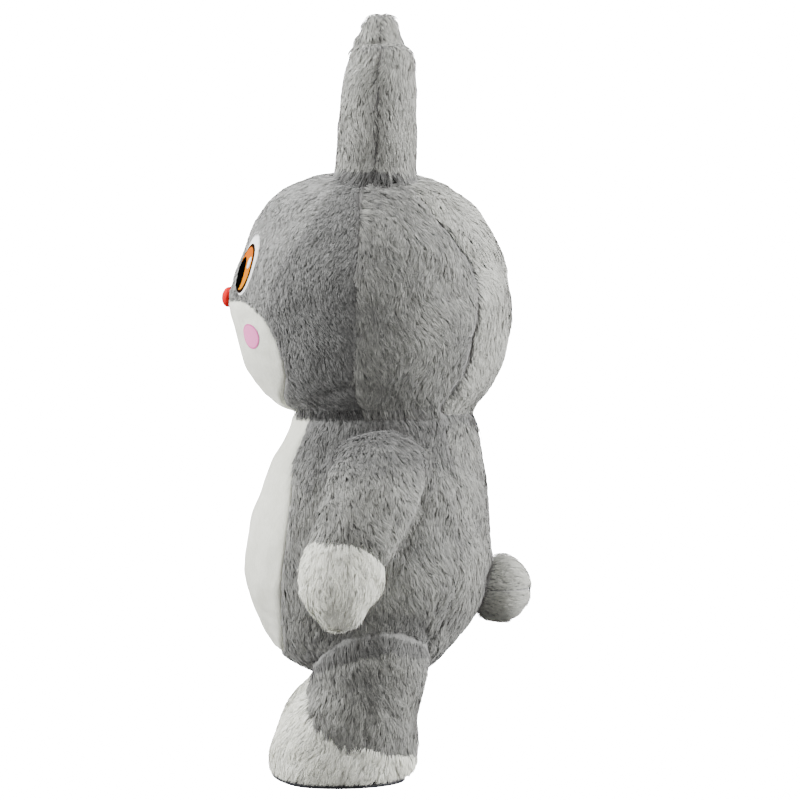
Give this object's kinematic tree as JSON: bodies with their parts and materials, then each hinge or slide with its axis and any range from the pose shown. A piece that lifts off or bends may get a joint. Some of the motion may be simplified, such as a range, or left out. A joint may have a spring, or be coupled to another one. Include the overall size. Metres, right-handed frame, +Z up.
{
  "type": "rabbit mascot costume",
  "caption": "Long-furred grey rabbit mascot costume with white muzzle, belly, paws and feet, a stuffed red nose, a zip down the back and a ball tail, filled out and standing.",
  "frame": {"origin": "on the floor, at the middle of the costume's bounding box", "axes": "+Z up; the rabbit faces -Y and its left side is +X"},
  "size_m": [1.3626, 1.0831, 2.6],
  "materials": {
    "grey_fur": "long fur pile",
    "face_fur": "shorter fur pile",
    "white_fur": "long fur pile",
    "white_plush": "short smooth plush",
    "eye_white": "felt",
    "eye_iris": "printed felt",
    "eye_pupil": "felt",
    "cheek_pink": "short plush",
    "nose_red": "smooth sheen cloth",
    "sole_black": "matt",
    "zip_tape": "woven tape",
    "zip_chain": "coil teeth",
    "zip_metal": "dark painted metal"
  },
  "bodies": {
    "costume": {"arm_inner_left": "grey_fur", "arm_inner_right": "grey_fur", "arm_outer_left": "grey_fur", "arm_outer_right": "grey_fur", "belly": "white_plush", "body_back_left": "grey_fur", "body_back_right": "grey_fur", "body_side_left": "grey_fur", "body_side_right": "grey_fur", "cheek_left": "cheek_pink", "cheek_right": "cheek_pink", "ear_back_left": "grey_fur", "ear_back_right": "grey_fur", "ear_front_left": "grey_fur", "ear_front_right": "grey_fur", "eye_glint_left": "eye_white", "eye_glint_right": "eye_white", "eye_iris_left": "eye_iris", "eye_iris_right": "eye_iris", "eye_pupil_left": "eye_pupil", "eye_pupil_right": "eye_pupil", "eye_white_left": "eye_white", "eye_white_right": "eye_white", "face_side_left": "face_fur", "face_side_right": "face_fur", "foot_inner_left": "white_fur", "foot_inner_right": "white_fur", "foot_outer_left": "white_fur", "foot_outer_right": "white_fur", "forehead": "face_fur", "head_back": "grey_fur", "head_side_left": "grey_fur", "head_side_right": "grey_fur", "leg_back_left": "grey_fur", "leg_back_right": "grey_fur", "leg_front_left": "grey_fur", "leg_front_right": "grey_fur", "muzzle": "white_plush", "nose": "nose_red", "paw_inner_left": "white_fur", "paw_inner_right": "white_fur", "paw_outer_left": "white_fur", "paw_outer_right": "white_fur", "sole_left": "sole_black", "sole_right": "sole_black", "tail_lower": "grey_fur", "tail_upper": "grey_fur", "zip_chain": "zip_chain", "zip_slider": "zip_metal", "zip_tape_left": "zip_tape", "zip_tape_right": "zip_tape"},
    "zip_pull": {"zip_pull": "zip_metal"}
  },
  "joints": [
    {"name": "zip_pull_hinge", "type": "hinge", "parent": "costume", "child": "zip_pull", "pos_m": [0, 0.36007, 1.18644], "axis": [1, 0, 0], "range_deg": [0, 150]}
  ]
}
